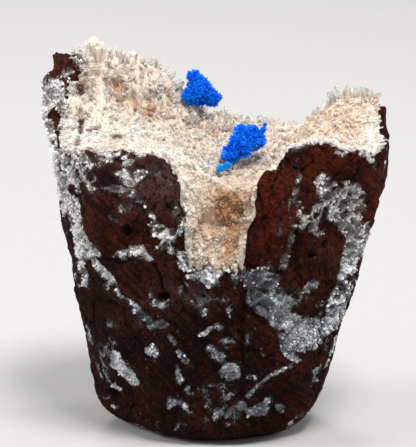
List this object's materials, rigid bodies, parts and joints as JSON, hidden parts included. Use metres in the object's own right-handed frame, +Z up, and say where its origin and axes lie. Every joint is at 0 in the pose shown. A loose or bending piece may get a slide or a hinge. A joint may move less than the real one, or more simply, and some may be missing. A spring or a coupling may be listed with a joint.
{
  "type": "cavansite specimen",
  "caption": "Tapered block of brown basalt with a crystal-lined hollow on top, where spiny blue cavansite rosettes sit on a crust of pale stilbite; it stands on its flat foot.",
  "frame": {"origin": "middle of the bounding box's underside, on the surface the specimen stands on", "axes": "+Z up along the tapered block, +X to the viewer's right and +Y away from the viewer, who faces the side with the notch"},
  "size_m": [0.0689, 0.0478, 0.0766],
  "materials": {
    "basalt": "rough broken reddish-brown basalt with grey and white zeolite druse in its seams",
    "stilbite": "glassy to pearly cream-white crystals",
    "cavansite": "vivid blue, finely bladed, slightly glassy"
  },
  "bodies": {
    "root": {"basalt_matrix": "basalt", "stilbite_crust": "stilbite", "cavansite_back": "cavansite", "cavansite_front": "cavansite", "cavansite_sprig": "cavansite"}
  },
  "joints": []
}
